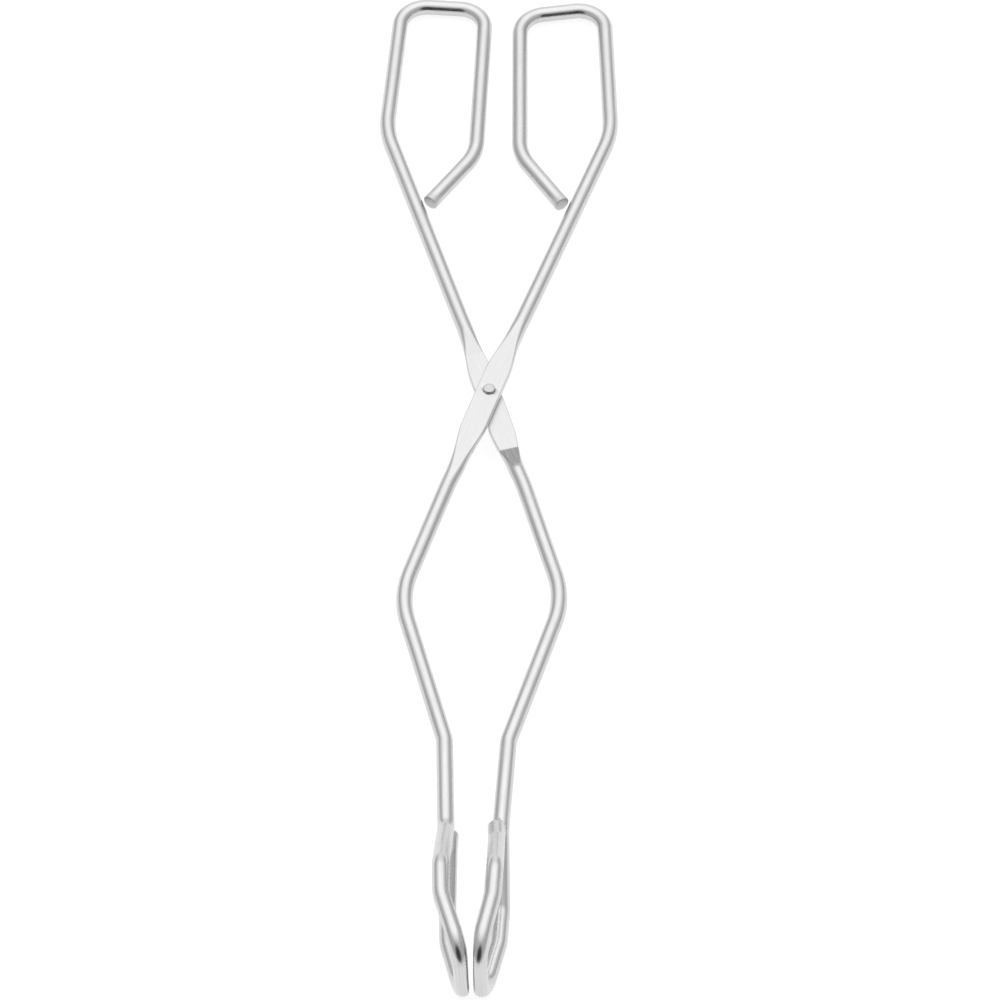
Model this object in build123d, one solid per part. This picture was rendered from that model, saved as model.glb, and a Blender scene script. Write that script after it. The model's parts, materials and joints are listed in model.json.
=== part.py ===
from build123d import *
import math
import os

# Wire tongs: two bent-wire arms that cross at one rivet. Millimetres.
# The rear arm is the front arm turned over about the long axis, apart from two small
# differences left by bending them by hand.
# Points are given from the rivet's axis, in the plane of the wires, with the handles at +Y
# and the jaws at -Y. The finished tongs lie on their jaw loops and their handles, so that
# plane slopes down a little towards the handles.

WIRE = 5.0  # round steel wire
WIRE_R = WIRE / 2

# Handle loop, from the wire's free end round to the elbow below it.
FREE_END = (21.2, 79.1, 0)
INNER_CORNER = (7.1, 100.3, 0)
TOP_INNER = (5.7, 163.2, 0)
TOP_OUTER = (33.3, 166.4, 0)
ELBOW = (36.4, 109.8, 0)
# The long crossing run turns a little at the strap.
STRAP_BEND = (-3.75, -9.6, 0)
KNEE = (-24.6, -79.5, 0)
NECK_BEND = (-9.4, -132.0, 0)

# Jaw loop: a U standing across the plane of the wires.
LOOP_HALF = 12.5  # from the plane of the wires to the centre of each jaw leg
FORK = (-7.95, -163.4, 0)
FORK_END = (-8.6, -184.1, LOOP_HALF)
JAW_TURN = (-8.1, -194.6, LOOP_HALF)
TIP_CORNER = (-2.8, -214.3, LOOP_HALF)
TIP = (-2.4, -214.3, 0)
# The leg that comes back and is welded under the neck.
BACK_TIP_CORNER = (-2.0, -214.3, -LOOP_HALF)
BACK_TURN = (-6.6, -195.0, -LOOP_HALF)
BACK_FORK_END = (-7.05, -184.6, -LOOP_HALF)
WELD_BEND = (-6.95, -169.5, -4.0)
WELD_END = (-6.9, -164.2, -2.9)

# Left by bending by hand: both tips lean to +X, and the inner top corner of the handle loop is
# lower than TOP_INNER on the front arm and higher on the rear arm.
TIPS_ASIDE = 0.8
CORNER_LOWER = 1.4

# Bend radii on the wire's centre line.
INNER_R = 19.0
TOP_R = 8.8
ELBOW_R = 35.0
STRAP_BEND_R = 150.0
KNEE_R = 33.0
NECK_R = 12.4
FORK_R = 8.0
JAW_TURN_R = 15.0
TIP_R = 9.0

# Pressed strap that the rivet goes through, along the line of the crossing run.
STRAP_ANGLE = math.degrees(math.atan(0.3127))  # from the long axis
STRAP_MIDDLE = -3.0  # from the rivet, along the strap
STRAP_GAP = 0.2  # between the two straps
STRAP_TOP = 2.4
STRAP_FLAT = 19.5  # half length at full depth of the pressed step
STRAP_RAMP = 28.5  # half length to where the step has run out
STRAP_HALF_WIDTH = 3.85
STRAP_SHOULDER = 12.0
STRAP_TAPER = (25.0, 2.6)
STRAP_POINT = (31.0, 0.7)

# Serrated pad: a flat on the inside of each jaw tip, square to the direction of the grip.
PAD_FACE = -0.7
PAD_SIZE = 40.0

# Rivet.
RIVET_R = 1.5
RIVET_CLEARANCE = 0.05
RIVET_HEAD_R = 1.85
RIVET_HEAD = 0.8
RIVET_END_PLAY = 0.05

# The rivet's place when the tongs lie on a table, with the origin under their middle.
REST_SLOPE = 2.034
PIVOT_Y = 24.28
PIVOT_Z = 8.385


def wire_tube(points, radii):
    """A round wire along straight runs joined by tangent bends."""
    path = FilletPolyline(*points, radius=radii)
    section = Plane(origin=path @ 0, z_dir=path % 0) * Circle(WIRE_R)
    return sweep(section, path=path)


def strap_plate():
    """The leaf-shaped pressed flat, from the gap between the straps to the outer face."""
    outline = []
    for side, end in ((1, 1), (1, -1), (-1, -1), (-1, 1)):
        corners = [
            (STRAP_POINT[0], STRAP_POINT[1]),
            (STRAP_TAPER[0], STRAP_TAPER[1]),
            (STRAP_SHOULDER, STRAP_HALF_WIDTH),
        ]
        if side != end:
            corners.reverse()
        for along, across in corners:
            outline.append((STRAP_MIDDLE + end * along, side * across))
    bottom = Plane(origin=(0, 0, STRAP_GAP / 2), x_dir=strap_direction(), z_dir=(0, 0, 1))
    leaf = make_face(Polyline(*outline, close=True))
    return extrude(bottom * leaf, amount=STRAP_TOP - STRAP_GAP / 2)


def strap_direction():
    angle = math.radians(STRAP_ANGLE)
    return (math.sin(angle), math.cos(angle), 0)


def strap_relief():
    """What pressing takes away: the inner half of the wire, ramped at both ends, and the crown."""
    along = strap_direction()
    side = Plane(origin=(0, 0, 0), x_dir=along, z_dir=(along[1], -along[0], 0))
    inner = make_face(
        Polyline(
            (STRAP_MIDDLE - STRAP_RAMP, -WIRE_R),
            (STRAP_MIDDLE - STRAP_FLAT, STRAP_GAP / 2),
            (STRAP_MIDDLE + STRAP_FLAT, STRAP_GAP / 2),
            (STRAP_MIDDLE + STRAP_RAMP, -WIRE_R),
            (STRAP_MIDDLE + STRAP_RAMP, -WIRE),
            (STRAP_MIDDLE - STRAP_RAMP, -WIRE),
            close=True,
        )
    )
    crown = Pos(STRAP_MIDDLE, STRAP_TOP + WIRE_R) * Rectangle(2 * STRAP_POINT[0], WIRE)
    return extrude(side * inner, amount=WIRE, both=True) + extrude(side * crown, amount=WIRE, both=True)


def pad_relief(aside):
    """The slab that flattens the inside of the jaw tip."""
    low_corner = (Align.MIN, Align.CENTER, Align.CENTER)
    return Pos(PAD_FACE + aside, TIP[1], 0) * Box(PAD_SIZE, PAD_SIZE, PAD_SIZE, align=low_corner)


def arm(hole_r, bias):
    """One arm, from the free end of the wire round the handle loop to the welded end of the jaw.
    bias is 1 for the front arm and -1 for the rear arm, which is turned over afterwards."""
    to_the_side = Vector(bias * TIPS_ASIDE, 0, 0)
    corner_down = Vector(0, -bias * CORNER_LOWER, 0)
    tip = TIP + to_the_side
    long_run = wire_tube(
        [
            FREE_END,
            INNER_CORNER,
            TOP_INNER + corner_down,
            TOP_OUTER,
            ELBOW,
            STRAP_BEND,
            KNEE,
            NECK_BEND,
            FORK,
            FORK_END,
            JAW_TURN,
            TIP_CORNER + to_the_side,
            tip,
        ],
        [
            INNER_R,
            TOP_R,
            TOP_R,
            ELBOW_R,
            STRAP_BEND_R,
            KNEE_R,
            NECK_R,
            FORK_R,
            FORK_R,
            JAW_TURN_R,
            TIP_R,
        ],
    )
    back_leg = wire_tube(
        [tip, BACK_TIP_CORNER + to_the_side, BACK_TURN, BACK_FORK_END, WELD_BEND, WELD_END],
        [TIP_R, JAW_TURN_R, FORK_R, FORK_R],
    )
    hole = Cylinder(hole_r, 4 * WIRE)
    return long_run - strap_relief() + strap_plate() - hole + back_leg - pad_relief(bias * TIPS_ASIDE)


def rivet():
    shank = Cylinder(RIVET_R, 2 * STRAP_TOP + RIVET_END_PLAY, align=(Align.CENTER, Align.CENTER, Align.MAX))
    head = Cylinder(RIVET_HEAD_R, RIVET_HEAD, align=(Align.CENTER, Align.CENTER, Align.MIN))
    top = Pos(0, 0, STRAP_TOP)
    bottom = Pos(0, 0, -STRAP_TOP - RIVET_END_PLAY) * Rot(180, 0, 0)
    return top * shank + top * head + bottom * head


def main():
    os.makedirs("parts", exist_ok=True)
    place = Pos(0, PIVOT_Y, PIVOT_Z) * Rot(-REST_SLOPE, 0, 0)
    turned_over = Rot(0, 180, 0)
    nodes = {
        "front_arm": place * arm(RIVET_R, 1),
        "rear_arm": place * turned_over * arm(RIVET_R + RIVET_CLEARANCE, -1),
        "pivot_rivet": place * rivet(),
    }
    for name, shape in nodes.items():
        shape.label = name
        export_step(shape, f"parts/{name}.step")
    print(Compound(list(nodes.values())).bounding_box(optimal=True))


main()
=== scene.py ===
import json
import math

import bmesh
import bpy
from mathutils import Matrix, Vector


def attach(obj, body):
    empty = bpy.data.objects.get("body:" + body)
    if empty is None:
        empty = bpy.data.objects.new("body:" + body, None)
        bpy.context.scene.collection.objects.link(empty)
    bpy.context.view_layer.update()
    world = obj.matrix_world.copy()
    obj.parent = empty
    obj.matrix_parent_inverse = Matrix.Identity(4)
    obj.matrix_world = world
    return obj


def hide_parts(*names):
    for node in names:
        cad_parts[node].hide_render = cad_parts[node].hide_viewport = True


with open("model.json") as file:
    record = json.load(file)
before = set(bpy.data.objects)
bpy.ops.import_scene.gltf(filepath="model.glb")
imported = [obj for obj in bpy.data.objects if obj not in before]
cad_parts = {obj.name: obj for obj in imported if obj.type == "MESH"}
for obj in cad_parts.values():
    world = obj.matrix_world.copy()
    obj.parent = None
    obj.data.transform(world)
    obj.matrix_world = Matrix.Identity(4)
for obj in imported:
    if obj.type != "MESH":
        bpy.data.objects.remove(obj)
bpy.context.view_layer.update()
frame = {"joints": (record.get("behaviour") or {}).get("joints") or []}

MM = 0.001

# The tongs' own frame: the rivet's axis is Z, the wires lie in its XY plane, the handles point to +Y.
JOINT = frame["joints"][0]
PIVOT = Vector(JOINT["pos_m"])
PLANE_UP = Vector(JOINT["axis"]).normalized()
ACROSS = Vector((1, 0, 0))
ALONG = PLANE_UP.cross(ACROSS).normalized()

# Millimetres in the tongs' frame, as in the part's own drawing.
WIRE_R = 2.5
FREE_END = (21.2, 79.1, 0)
INNER_CORNER = (7.1, 100.3, 0)
TOP_INNER = (5.7, 163.2, 0)
TOP_OUTER = (33.3, 166.4, 0)
ELBOW = (36.4, 109.8, 0)
STRAP_BEND = (-3.75, -9.6, 0)
KNEE = (-24.6, -79.5, 0)
NECK_BEND = (-9.4, -132.0, 0)
LOOP_HALF = 12.5
FORK = (-7.95, -163.4, 0)
FORK_END = (-8.6, -184.1, LOOP_HALF)
JAW_TURN = (-8.1, -194.6, LOOP_HALF)
TIP_Y = -214.3
TIP_X = -2.8
BACK_TIP_X = -2.0
BACK_TURN = (-6.6, -195.0, -LOOP_HALF)
BACK_FORK_END = (-7.05, -184.6, -LOOP_HALF)
# The weld is pressed a little deeper into the arm than in the part's drawing.
WELD_BEND = (-6.95, -169.5, -3.7)
WELD_END = (-6.7, -164.4, -2.2)
WELD_ROUND = 1.7  # how far the rounded end reaches past the end of the centre line
NUGGET_MIDDLE = Vector((-7.3, -165.9, -2.1))
NUGGET_SIZE = (2.3, 3.8, 1.6)
TIPS_ASIDE = 0.8
CORNER_LOWER = 1.4
BEND_RADII = [19.0, 8.8, 8.8, 35.0, 150.0, 33.0, 12.4, 8.0, 8.0, 15.0, 9.0, 9.0, 15.0, 8.0, 8.0]

STRAP_SLOPE = 0.3127
STRAP_DIRECTION = Vector((STRAP_SLOPE, 1, 0)).normalized()
STRAP_SIDE = Vector((STRAP_DIRECTION.y, -STRAP_DIRECTION.x, 0))
STRAP_MIDDLE = -3.0
STRAP_HALF_WIDTH = 3.85
STRAP_TOP = 2.4
STRAP_BOTTOM = 0.1
STRAP_EDGE = 0.3
# Distances from the strap's middle. Between each pair one of its features runs out: the pressed
# step underneath, the extra width, the flat top, the width of the flats, and the strap's own line.
STEP_START = 19.7
STEP_END = 28.8
WIDENING = (11.0, 25.5)
TOP_FLAT = (26.0, 36.0)
NARROWING = (10.0, 36.0)
CENTRING = (27.0, 37.0)
HANDLE_RAMP = 0.15  # how much of the painted dark reflection the ramp at the handle end gets, against 1 at the jaw end

PAD_FACE = -0.7
PAD_START = TIP_Y + 14  # nothing further from the tip than this is flattened
PAD_REACH = 9.5  # the teeth's reach above and below the middle
PAD_ROUND = 0.7  # blend at the pad's edge
TOOTH_PITCH = 1.0
TOOTH_DEPTH = 0.2

RIVET_R = 1.5
RIVET_CLEARANCE = 0.05
RIVET_HEAD_R = 1.85
RIVET_HEAD = 0.8
RIVET_END_PLAY = 0.05

RING = 64  # points round the wire
STRAP_SPACING = 0.45  # between rings, as are the next two
BEND_SPACING = 0.6
PLAIN_SPACING = 4.0
NEAR_STRAP = 37.0  # half length of the part of the wire that pressing changed

NOISE_ROUGHNESS = 0.55


def smooth(low, high, value):
    """0 below low, 1 above high, and an even S between them."""
    share = min(1.0, max(0.0, (value - low) / (high - low)))
    return share * share * (3 - 2 * share)


def placed(point):
    """A point in the tongs' frame, in millimetres, as a point of the scene."""
    return PIVOT + (ACROSS * point[0] + ALONG * point[1] + PLANE_UP * point[2]) * MM


def turned_over(point):
    return Vector((-point[0], point[1], -point[2]))


def wire_pieces(points, radii):
    """The centre line of a bent wire: straight runs and the tangent bends between them."""
    points = [Vector(p) for p in points]
    pieces = []
    last = points[0]
    for before, corner, after, radius in zip(points, points[1:], points[2:], radii):
        into = (corner - before).normalized()
        out = (after - corner).normalized()
        turn = into.angle(out)
        reach = radius * math.tan(turn / 2)
        start = corner - into * reach
        pieces.append((last, into, None, 0.0, (start - last).length))
        toward = (out - into * into.dot(out)).normalized()
        pieces.append((start, into, toward, radius, radius * turn))
        last = corner + out * reach
    end = points[-1]
    pieces.append((last, (end - last).normalized(), None, 0.0, (end - last).length))
    return pieces


def on_piece(piece, along):
    """Position and direction on one piece of the centre line."""
    start, into, toward, radius, _ = piece
    if toward is None:
        return start + into * along, into
    angle = along / radius
    position = start + into * (radius * math.sin(angle)) + toward * (radius * (1 - math.cos(angle)))
    return position, into * math.cos(angle) + toward * math.sin(angle)


def strap_place(position):
    """How far along the strap a point is from the strap's middle."""
    return position.dot(STRAP_DIRECTION) - STRAP_MIDDLE


def step_length(position, bend):
    """Ring spacing: close where the section changes, wide on a plain run."""
    if position.y < TIP_Y + 9 and abs(position.z) < PAD_REACH + 1:
        return TOOTH_PITCH / 8
    if abs(position.z) < 1 and abs(strap_place(position)) < NEAR_STRAP:
        return STRAP_SPACING
    return BEND_SPACING if bend else PLAIN_SPACING


def stations(pieces):
    """Position, direction and length so far, at each ring of the wire."""
    found = []
    so_far = 0.0
    for piece in pieces:
        length = piece[4]
        along = 0.0
        while along < length - 1e-6:
            position, direction = on_piece(piece, along)
            found.append((position, direction, so_far + along))
            along += min(step_length(position, piece[2] is not None), length)
        so_far += length
    position, direction = on_piece(pieces[-1], pieces[-1][4])
    found.append((position, direction, so_far))
    return found


def section(position):
    """Half width, top and bottom of the wire here, and the size of its top and bottom corners."""
    along = strap_place(position)
    away = abs(along)
    if abs(position.z) > 0.01 or away > NEAR_STRAP:
        return WIRE_R, WIRE_R, -WIRE_R, (WIRE_R, WIRE_R), (WIRE_R, WIRE_R)
    half = WIRE_R + (STRAP_HALF_WIDTH - WIRE_R) * (1 - smooth(*WIDENING, away))
    top = WIRE_R - (WIRE_R - STRAP_TOP) * (1 - smooth(*TOP_FLAT, away))
    flat = (STRAP_HALF_WIDTH - STRAP_EDGE) * (1 - smooth(*NARROWING, away))
    top_corner = max(half - flat, STRAP_EDGE)
    ramp = min(1.0, max(0.0, (away - STEP_START) / (STEP_END - STEP_START)))
    bottom = STRAP_BOTTOM - (WIRE_R + STRAP_BOTTOM) * ramp
    low_side = max(half - (half - STRAP_EDGE) * (1 - ramp), STRAP_EDGE)
    low_rise = max(-bottom, STRAP_EDGE)
    return half, top, bottom, (top_corner, top_corner), (low_side, low_rise)


def ring(position, direction, up):
    """The outline of the wire across its length at one station."""
    half, top, bottom, high, low = section(position)
    side = direction.cross(up)
    away = abs(strap_place(position))
    centring = (1 - smooth(*CENTRING, away)) if abs(position.z) < 0.01 else 0.0
    centre = position - STRAP_SIDE * (position.dot(STRAP_SIDE) * centring)
    outline = []
    for k in range(RING):
        angle = 2 * math.pi * (k + 0.5) / RING
        across, rise = (high if math.sin(angle) > 0 else low)
        level = top - rise if math.sin(angle) > 0 else bottom + rise
        x = math.copysign(half - across, math.cos(angle)) + across * math.cos(angle)
        z = level + rise * math.sin(angle)
        outline.append(centre + side * x + up * z)
    return outline


def serrated(point, length, tips_aside):
    """Flattens the inside of the jaw tip, rounds the flat's edge and cuts its teeth."""
    if point.y > PAD_START:
        return point
    depth = 0.0
    if abs(point.z) < PAD_REACH:
        wave = length / TOOTH_PITCH % 1.0
        depth = TOOTH_DEPTH * abs(2 * wave - 1)
    face = PAD_FACE + tips_aside - depth
    proud = point.x - face
    blend = max(0.0, PAD_ROUND - abs(proud))
    if proud < 0 and blend == 0:
        return point
    x = min(point.x, face) - blend * blend / (4 * PAD_ROUND)
    return Vector((x, point.y, point.z))


def step_mask(point, along):
    """Where the ramp is rougher and carries a painted dark reflection: 1 on the ramp at the jaw end of the
    pressed step, less on the ramp at the handle end.
    """
    away = abs(along)
    if abs(point.z) > 3 or not STEP_START - 0.2 < away < STEP_END + 1:
        return 0.0
    level = STRAP_BOTTOM - (WIRE_R + STRAP_BOTTOM) * (away - STEP_START) / (STEP_END - STEP_START)
    on_face = 1 - smooth(0.1, 0.5, point.z - level)
    return on_face * (1 - smooth(STEP_END - 2, STEP_END + 1, away)) * (1.0 if along < 0 else HANDLE_RAMP)


def end_rings(position, direction, up, outwards):
    """A sheared end: a small rolled edge, then the flat face with a shallow dish."""
    rings = []
    profile = [
        (0.0, 1.0),
        (0.12, 0.985),
        (0.22, 0.945),
        (0.28, 0.89),
        (0.3, 0.82),
        (0.29, 0.6),
        (0.26, 0.35),
        (0.24, 0.12),
    ]
    for reach, scale in profile:
        centre = position + direction * ((reach - 0.3) * outwards)
        rings.append([centre + (p - position) * scale for p in ring(position, direction, up)])
    return rings


def weld_rings(position, direction, up):
    """The welded end: squeezed round and pushed down into the arm."""
    rings = []
    steps = 10
    for k in range(1, steps):
        angle = 0.5 * math.pi * k / steps
        centre = position + direction * (WELD_ROUND * math.sin(angle))
        rings.append([centre + (p - position) * math.cos(angle) for p in ring(position, direction, up)])
    return rings


def arm_rings(bias):
    """All the rings of one arm, with the wire length at each and whether it is on the sheared end."""
    tips_aside = bias * TIPS_ASIDE
    points = [
        FREE_END,
        INNER_CORNER,
        (TOP_INNER[0], TOP_INNER[1] - bias * CORNER_LOWER, 0),
        TOP_OUTER,
        ELBOW,
        STRAP_BEND,
        KNEE,
        NECK_BEND,
        FORK,
        FORK_END,
        JAW_TURN,
        (TIP_X + tips_aside, TIP_Y, LOOP_HALF),
        (BACK_TIP_X + tips_aside, TIP_Y, -LOOP_HALF),
        BACK_TURN,
        BACK_FORK_END,
        WELD_BEND,
        WELD_END,
    ]
    rings = []
    up = Vector((0, 0, 1))
    line = stations(wire_pieces(points, BEND_RADII))
    for index, (position, direction, length) in enumerate(line):
        up = (up - direction * up.dot(direction)).normalized()
        if index == 0:
            for outline in reversed(end_rings(position, direction, up, -1)):
                rings.append((outline, 0.0, True))
            continue
        rings.append((ring(position, direction, up), length, False))
        if index == len(line) - 1:
            for outline in weld_rings(position, direction, up):
                rings.append((outline, length, False))
    return rings


def arm_object(name, bias, over):
    """One arm as a closed mesh, with its wire coordinates and masks."""
    bm = bmesh.new()
    uv = bm.loops.layers.uv.new("wire")
    flat_uv = bm.loops.layers.uv.new("strap")
    masks = {key: bm.verts.layers.float.new(key) for key in ("pressed", "stepped", "cut")}
    rows = []
    lengths = []
    on_strap = {}
    for outline, length, is_cut in arm_rings(bias):
        row = []
        for point in outline:
            along = strap_place(point)
            flat_here = 1 - smooth(24.0, 33.0, abs(along)) if abs(point.z) < 3 else 0.0
            point = serrated(point, length, bias * TIPS_ASIDE)
            vert = bm.verts.new(placed(turned_over(point) if over else point))
            on_strap[vert] = (along * MM, point.dot(STRAP_SIDE) * MM)
            vert[masks["pressed"]] = flat_here
            vert[masks["stepped"]] = step_mask(point, along)
            vert[masks["cut"]] = 1.0 if is_cut else 0.0
            row.append(vert)
        rows.append(row)
        lengths.append(length)
    for i in range(len(rows) - 1):
        for k in range(RING):
            after = (k + 1) % RING
            face = bm.faces.new((rows[i][k], rows[i + 1][k], rows[i + 1][after], rows[i][after]))
            corners = ((lengths[i], k), (lengths[i + 1], k), (lengths[i + 1], k + 1), (lengths[i], k + 1))
            for loop, (length, turn) in zip(face.loops, corners):
                loop[uv].uv = (length * MM, turn * 2 * math.pi * WIRE_R * MM / RING)
                loop[flat_uv].uv = on_strap[loop.vert]
            face.smooth = True
    for row, order in ((rows[0], 1), (rows[-1], -1)):
        face = bm.faces.new(row[::order])
        face.smooth = True
        for loop in face.loops:
            loop[uv].uv = (loop.vert.co.x, loop.vert.co.y)
    bmesh.ops.recalc_face_normals(bm, faces=bm.faces)
    return finished(name, bm)


def finished(name, bm):
    mesh = bpy.data.meshes.new(name)
    bm.to_mesh(mesh)
    bm.free()
    obj = bpy.data.objects.new(name, mesh)
    bpy.context.scene.collection.objects.link(obj)
    return obj


def turned(name, profile, segments, rough=0.0):
    """A closed solid of revolution about the rivet's axis. The profile starts and ends on that axis."""
    bm = bmesh.new()
    rows = []
    for radius, height in profile:
        if radius == 0:
            rows.append([bm.verts.new(placed((0, 0, height)))])
            continue
        row = []
        for k in range(segments):
            angle = 2 * math.pi * k / segments
            wobble = 1 + rough * math.sin(3 * angle + height) + rough * 0.5 * math.sin(7 * angle)
            reach = radius * wobble
            row.append(bm.verts.new(placed((reach * math.cos(angle), reach * math.sin(angle), height))))
        rows.append(row)
    for low, high in zip(rows, rows[1:]):
        for k in range(segments):
            after = (k + 1) % segments
            corners = [row[i % len(row)] for row, i in ((low, k), (low, after), (high, after), (high, k))]
            face = bm.faces.new(list(dict.fromkeys(corners)))
            face.smooth = True
    bmesh.ops.recalc_face_normals(bm, faces=bm.faces)
    return finished(name, bm)


def boolean(obj, other, operation):
    """Joins or cuts obj with other, which is then removed."""
    modifier = obj.modifiers.new("cut", "BOOLEAN")
    modifier.operation = operation
    modifier.solver = "EXACT"
    modifier.use_self = True
    modifier.object = other
    depsgraph = bpy.context.evaluated_depsgraph_get()
    mesh = bpy.data.meshes.new_from_object(obj.evaluated_get(depsgraph))
    obj.modifiers.clear()
    obj.data = mesh
    bpy.data.objects.remove(other)


def weighted_normals(obj):
    modifier = obj.modifiers.new("even shading", "WEIGHTED_NORMAL")
    modifier.weight = 80
    modifier.keep_sharp = True


def weld_nugget(over):
    """The metal squeezed out between the end of the wire and the arm."""
    bm = bmesh.new()
    bmesh.ops.create_icosphere(bm, subdivisions=4, radius=1.0)
    for vert in bm.verts:
        p = vert.co
        lumps = 1 + 0.05 * math.sin(9 * p.y + 4 * p.x) + 0.04 * math.sin(14 * p.y - 3 * p.z)
        point = NUGGET_MIDDLE + Vector([q * size for q, size in zip(p, NUGGET_SIZE)]) * lumps
        vert.co = placed(turned_over(point) if over else point)
    for face in bm.faces:
        face.smooth = True
    return finished("nugget", bm)


def rivet_object():
    """A short rivet: a plain shank, and at each end a low head with a rolled edge and a shallow dish."""
    low = -STRAP_TOP - RIVET_END_PLAY
    profile = [(0, low - RIVET_HEAD + 0.03)]
    head = [
        (0.7, 0.03),
        (1.2, 0.005),
        (1.48, 0.02),
        (1.64, 0.07),
        (1.76, 0.17),
        (1.83, 0.3),
        (RIVET_HEAD_R, 0.45),
        (RIVET_HEAD_R, 0.62),
        (RIVET_HEAD_R - 0.06, RIVET_HEAD),
    ]
    profile += [(r, low - RIVET_HEAD + h) for r, h in head]
    profile += [(RIVET_R - 0.01, low), (RIVET_R - 0.01, STRAP_TOP)]
    profile += [(r, STRAP_TOP + RIVET_HEAD - h) for r, h in reversed(head)]
    profile.append((0, STRAP_TOP + RIVET_HEAD - 0.03))
    return turned("pivot_rivet_turned", profile, segments=96, rough=0.004)


# ---------------------------------------------------------------- materials

def new_material(name):
    material = bpy.data.materials.new(name)
    material.use_nodes = True
    tree = material.node_tree
    tree.nodes.clear()
    return material, tree


def node(tree, kind, **settings):
    made = tree.nodes.new(kind)
    for key, value in settings.items():
        setattr(made, key, value)
    return made


def noise(tree, vector, scale, detail):
    texture = node(tree, "ShaderNodeTexNoise")
    texture.inputs["Scale"].default_value = scale
    texture.inputs["Detail"].default_value = detail
    texture.inputs["Roughness"].default_value = NOISE_ROUGHNESS
    tree.links.new(vector, texture.inputs["Vector"])
    return texture.outputs["Fac"]


def stretched(tree, vector, scale):
    mapping = node(tree, "ShaderNodeMapping")
    mapping.inputs["Scale"].default_value = scale
    tree.links.new(vector, mapping.inputs["Vector"])
    return mapping.outputs["Vector"]


def ramp(tree, value, stops):
    made = node(tree, "ShaderNodeMapRange")
    (in_low, out_low), (in_high, out_high) = stops
    made.inputs["From Min"].default_value = in_low
    made.inputs["From Max"].default_value = in_high
    made.inputs["To Min"].default_value = out_low
    made.inputs["To Max"].default_value = out_high
    tree.links.new(value, made.inputs["Value"])
    return made.outputs["Result"]


def mix_colour(tree, share, a, b):
    made = node(tree, "ShaderNodeMix", data_type="RGBA")
    for socket, value in ((made.inputs[0], share), (made.inputs[6], a), (made.inputs[7], b)):
        if isinstance(value, (tuple, float, int)):
            socket.default_value = value
        else:
            tree.links.new(value, socket)
    return made.outputs[2]


def mix_value(tree, share, a, b):
    made = node(tree, "ShaderNodeMix", data_type="FLOAT")
    for socket, value in ((made.inputs[0], share), (made.inputs[2], a), (made.inputs[3], b)):
        if isinstance(value, (float, int)):
            socket.default_value = value
        else:
            tree.links.new(value, socket)
    return made.outputs[0]


def attribute(tree, name):
    return node(tree, "ShaderNodeAttribute", attribute_name=name).outputs["Fac"]


def bump(tree, height, distance, before=None):
    made = node(tree, "ShaderNodeBump")
    made.inputs["Strength"].default_value = 1.0
    made.inputs["Distance"].default_value = distance
    tree.links.new(height, made.inputs["Height"])
    if before is not None:
        tree.links.new(before, made.inputs["Normal"])
    return made.outputs["Normal"]


def metal(tree, colour, roughness, normal):
    shader = node(tree, "ShaderNodeBsdfPrincipled")
    shader.inputs["Metallic"].default_value = 1.0
    tree.links.new(colour, shader.inputs["Base Color"])
    tree.links.new(roughness, shader.inputs["Roughness"])
    tree.links.new(normal, shader.inputs["Normal"])
    output = node(tree, "ShaderNodeOutputMaterial")
    tree.links.new(shader.outputs["BSDF"], output.inputs["Surface"])


def arm_steel():
    """Bright drawn wire: long die lines, a brushed strap whose step ramp is rougher and carries a painted
    dark reflection, and coarse cut ends.
    """
    material, tree = new_material("arm_steel_drawn")
    wire = node(tree, "ShaderNodeUVMap", uv_map="wire").outputs["UV"]
    solid = node(tree, "ShaderNodeTexCoord").outputs["Object"]
    flat = node(tree, "ShaderNodeUVMap", uv_map="strap").outputs["UV"]
    pressed = attribute(tree, "pressed")
    stepped = attribute(tree, "stepped")
    cut = attribute(tree, "cut")
    die_lines = noise(tree, stretched(tree, wire, (60, 5200, 1)), 1.0, 2.0)
    brushing = noise(tree, stretched(tree, flat, (90, 5200, 1)), 1.0, 3.0)
    scoring = noise(tree, stretched(tree, flat, (60, 2300, 1)), 1.0, 3.0)
    handling = noise(tree, solid, 220.0, 4.0)
    grain = noise(tree, solid, 6000.0, 2.0)
    lines = mix_value(tree, pressed, die_lines, brushing)
    drawn = ramp(tree, lines, ((0.35, 0.0), (0.65, 1.0)))
    shade = mix_colour(tree, drawn, (0.58, 0.58, 0.585, 1), (0.66, 0.66, 0.665, 1))
    marked = ramp(tree, mix_value(tree, pressed, handling, 0.4), ((0.45, 0.0), (0.8, 0.2)))
    shade = mix_colour(tree, marked, shade, (0.54, 0.54, 0.55, 1))
    # The step's ramp: a painted dark reflection, streaked along the strap
    scored = ramp(tree, scoring, ((0.35, 0.0), (0.65, 1.0)))
    painted_dark_ramp = mix_colour(tree, scored, (0.3, 0.3, 0.3, 1), (0.44, 0.44, 0.44, 1))
    shade = mix_colour(tree, stepped, shade, painted_dark_ramp)
    shade = mix_colour(tree, cut, shade, (0.66, 0.66, 0.665, 1))
    polish = ramp(tree, lines, ((0.3, 0.2), (0.7, 0.28)))
    worn = ramp(tree, handling, ((0.45, 0.0), (0.75, 0.07)))
    added = node(tree, "ShaderNodeMath", operation="ADD")
    tree.links.new(polish, added.inputs[0])
    tree.links.new(worn, added.inputs[1])
    roughness = mix_value(tree, pressed, added.outputs[0], ramp(tree, lines, ((0.3, 0.26), (0.7, 0.36))))
    roughness = mix_value(tree, stepped, roughness, 0.42)
    roughness = mix_value(tree, cut, roughness, 0.6)
    normal = bump(tree, lines, 0.000012)
    normal = bump(tree, grain, 0.000002, before=normal)
    metal(tree, shade, roughness, normal)
    return material


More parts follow.
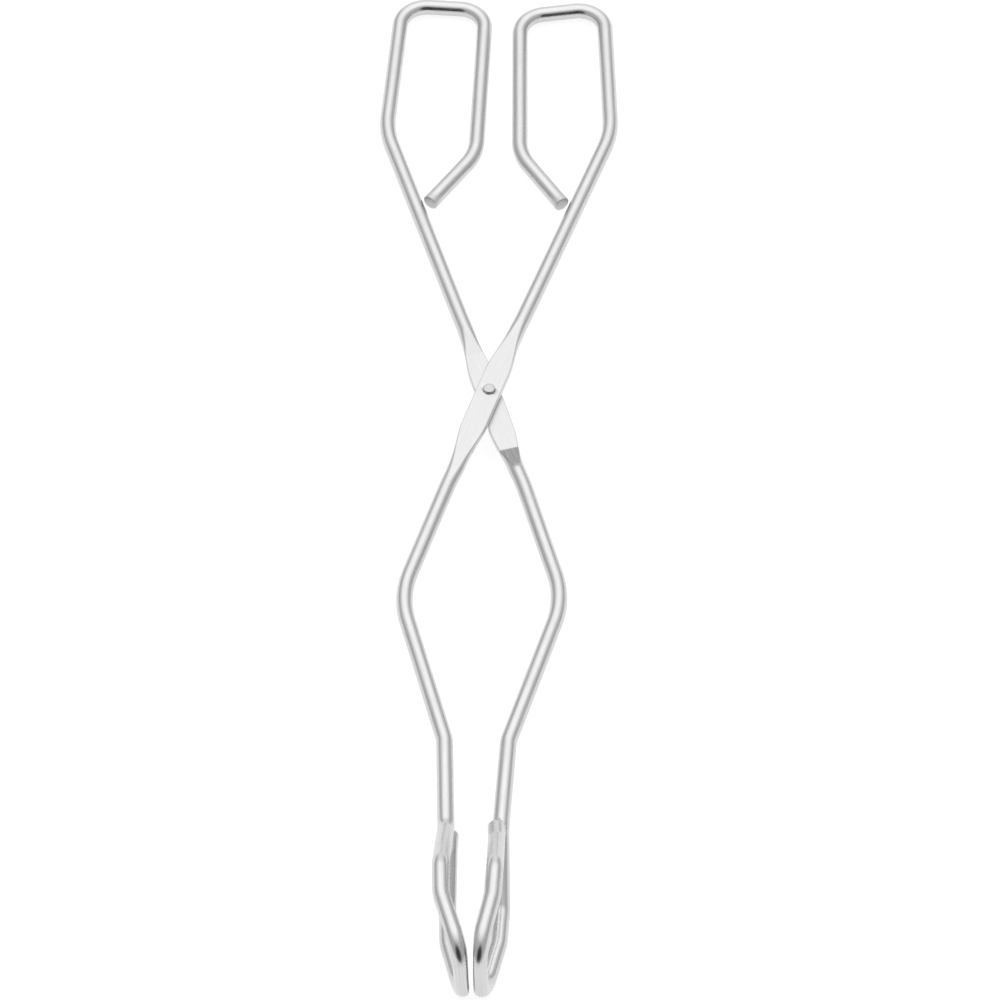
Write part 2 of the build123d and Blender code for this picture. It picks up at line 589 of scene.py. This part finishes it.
def rivet_steel():
    """Satin steel with the fine parallel marks of the punch that closed the head."""
    material, tree = new_material("rivet_steel_satin")
    solid = node(tree, "ShaderNodeTexCoord").outputs["Object"]
    marks = noise(tree, stretched(tree, solid, (9000, 900, 3000)), 1.0, 3.0)
    patches = noise(tree, solid, 900.0, 3.0)
    marked = ramp(tree, marks, ((0.35, 0.0), (0.7, 1.0)))
    shade = mix_colour(tree, marked, (0.5, 0.5, 0.5, 1), (0.63, 0.63, 0.635, 1))
    worn = ramp(tree, patches, ((0.45, 0.0), (0.8, 0.4)))
    shade = mix_colour(tree, worn, shade, (0.44, 0.44, 0.44, 1))
    roughness = ramp(tree, marks, ((0.3, 0.3), (0.7, 0.42)))
    metal(tree, shade, roughness, bump(tree, marks, 0.00002))
    return material


def table_white():
    material, tree = new_material("table_white")
    solid = node(tree, "ShaderNodeTexCoord").outputs["Object"]
    grain = noise(tree, solid, 900.0, 3.0)
    speckled = ramp(tree, grain, ((0.3, 0.0), (0.7, 1.0)))
    shade = mix_colour(tree, speckled, (0.31, 0.31, 0.31, 1), (0.35, 0.35, 0.35, 1))
    shader = node(tree, "ShaderNodeBsdfPrincipled")
    shader.inputs["Roughness"].default_value = 0.8
    shader.inputs["Specular IOR Level"].default_value = 0.2
    shader.inputs["Emission Color"].default_value = (1, 1, 1, 1)
    shader.inputs["Emission Strength"].default_value = 0.8
    tree.links.new(shade, shader.inputs["Base Color"])
    output = node(tree, "ShaderNodeOutputMaterial")
    tree.links.new(shader.outputs["BSDF"], output.inputs["Surface"])
    return material


def use_material(obj, material):
    obj.data.materials.clear()
    obj.data.materials.append(material)


# ---------------------------------------------------------------- the tongs

def make_arm(node_name, body, over):
    obj = arm_object(node_name + "_wire", -1 if over else 1, over)
    boolean(obj, weld_nugget(over), "UNION")
    hole_r = RIVET_R + (RIVET_CLEARANCE if over else 0.0)
    profile = [(0, -4.0), (hole_r, -4.0), (hole_r, 4.0), (0, 4.0)]
    boolean(obj, turned("hole", profile, segments=64), "DIFFERENCE")
    use_material(obj, arm_material)
    weighted_normals(obj)
    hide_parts(node_name)
    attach(obj, body)


arm_material = arm_steel()
make_arm("front_arm", "front", False)
make_arm("rear_arm", "rear", True)
rivet = rivet_object()
use_material(rivet, rivet_steel())
weighted_normals(rivet)
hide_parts("pivot_rivet")
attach(rivet, "front")


# ---------------------------------------------------------------- table, light and camera

LIGHT_STRENGTH = 1.5
# The lamp leans back from straight up. Each stop is a cosine of the angle from it, and a level.
LAMP_TILT = math.radians(20)
LAMP_STOPS = [(0.0, 0.38), (0.42, 0.38), (0.6, 0.44), (0.8, 0.74), (0.93, 1.0)]
# The sweep behind fades between these sideways shares of the direction.
SWEEP_LEVEL = 0.68
SWEEP_INNER = 0.3
SWEEP_OUTER = 0.52
# The dark patch at the front: its height, and the angles from its middle over which it fades.
DARK_LEVEL = 0.02
DARK_RISE = math.radians(23)
DARK_INNER = math.radians(25)
DARK_OUTER = math.radians(34)


def table():
    bm = bmesh.new()
    bmesh.ops.create_grid(bm, x_segments=24, y_segments=24, size=4.0)
    obj = finished("table", bm)
    use_material(obj, table_white())


def studio_light():
    """A soft tent: brightest overhead and a little behind, with a light sweep behind, dim sides and
    a dark patch low at the front."""
    world = bpy.data.worlds.new("studio")
    bpy.context.scene.world = world
    world.use_nodes = True
    tree = world.node_tree
    tree.nodes.clear()
    direction = node(tree, "ShaderNodeTexCoord").outputs["Generated"]

    def towards(axis):
        made = node(tree, "ShaderNodeVectorMath", operation="DOT_PRODUCT")
        made.inputs[1].default_value = axis
        tree.links.new(direction, made.inputs[0])
        return made.outputs["Value"]

    lamp = node(tree, "ShaderNodeValToRGB")
    tree.links.new(towards((0, math.sin(LAMP_TILT), math.cos(LAMP_TILT))), lamp.inputs["Fac"])
    stops = lamp.color_ramp
    stops.interpolation = "EASE"
    while len(stops.elements) < len(LAMP_STOPS):
        stops.elements.new(0.5)
    for element, (place, level) in zip(stops.elements, LAMP_STOPS):
        element.position = place
        element.color = (level, level, level, 1)
    sideways = node(tree, "ShaderNodeMath", operation="ABSOLUTE")
    tree.links.new(towards((1, 0, 0)), sideways.inputs[0])
    central = smooth_ramp(tree, sideways.outputs[0], SWEEP_OUTER, SWEEP_INNER)
    behind = smooth_ramp(tree, towards((0, 1, 0)), 0.0, 0.35)
    sweep = node(tree, "ShaderNodeMath", operation="MULTIPLY")
    tree.links.new(central, sweep.inputs[0])
    tree.links.new(behind, sweep.inputs[1])
    backdrop = mix_colour(tree, sweep.outputs[0], (0, 0, 0, 1), (SWEEP_LEVEL, SWEEP_LEVEL, SWEEP_LEVEL, 1))
    lighter = node(tree, "ShaderNodeMix", data_type="RGBA", blend_type="LIGHTEN")
    lighter.inputs[0].default_value = 1.0
    tree.links.new(lamp.outputs["Color"], lighter.inputs[6])
    tree.links.new(backdrop, lighter.inputs[7])
    low_front = towards((0, -math.cos(DARK_RISE), math.sin(DARK_RISE)))
    dark = smooth_ramp(tree, low_front, math.cos(DARK_OUTER), math.cos(DARK_INNER))
    final = mix_colour(tree, dark, lighter.outputs[2], (DARK_LEVEL, DARK_LEVEL, DARK_LEVEL, 1))
    background = node(tree, "ShaderNodeBackground")
    background.inputs["Strength"].default_value = LIGHT_STRENGTH
    tree.links.new(final, background.inputs["Color"])
    output = node(tree, "ShaderNodeOutputWorld")
    tree.links.new(background.outputs["Background"], output.inputs["Surface"])


def smooth_ramp(tree, value, low, high):
    """0 at low, 1 at high, which may be the smaller of the two."""
    falling = low > high
    made = node(tree, "ShaderNodeMapRange", interpolation_type="SMOOTHSTEP")
    made.inputs["From Min"].default_value = min(low, high)
    made.inputs["From Max"].default_value = max(low, high)
    made.inputs["To Min"].default_value = 1.0 if falling else 0.0
    made.inputs["To Max"].default_value = 0.0 if falling else 1.0
    tree.links.new(value, made.inputs["Value"])
    return made.outputs["Result"]


def camera():
    """Above the jaws' end, looking down and away along the tongs."""
    elevation, azimuth, roll = (math.radians(a) for a in (51.6, 2.38, 1.09))
    target = (4.49, -41.82, 0)
    distance = 1525.1 * MM
    back = Vector((
        math.sin(azimuth) * math.cos(elevation),
        -math.cos(azimuth) * math.cos(elevation),
        math.sin(elevation),
    ))
    right = Vector((math.cos(azimuth), math.sin(azimuth), 0))
    up = back.cross(right)
    turned_right = right * math.cos(roll) - up * math.sin(roll)
    turned_up = right * math.sin(roll) + up * math.cos(roll)
    axes = [ACROSS * v.x + ALONG * v.y + PLANE_UP * v.z for v in (turned_right, turned_up, back)]
    data = bpy.data.cameras.new("camera")
    data.sensor_width = 36
    data.lens = 180
    obj = bpy.data.objects.new("camera", data)
    turn = Matrix(axes).transposed().to_4x4()
    obj.matrix_world = Matrix.Translation(placed(target) + axes[2] * distance) @ turn
    bpy.context.scene.collection.objects.link(obj)
    bpy.context.scene.camera = obj


table()
studio_light()
camera()
bpy.context.scene.view_settings.view_transform = "Standard"
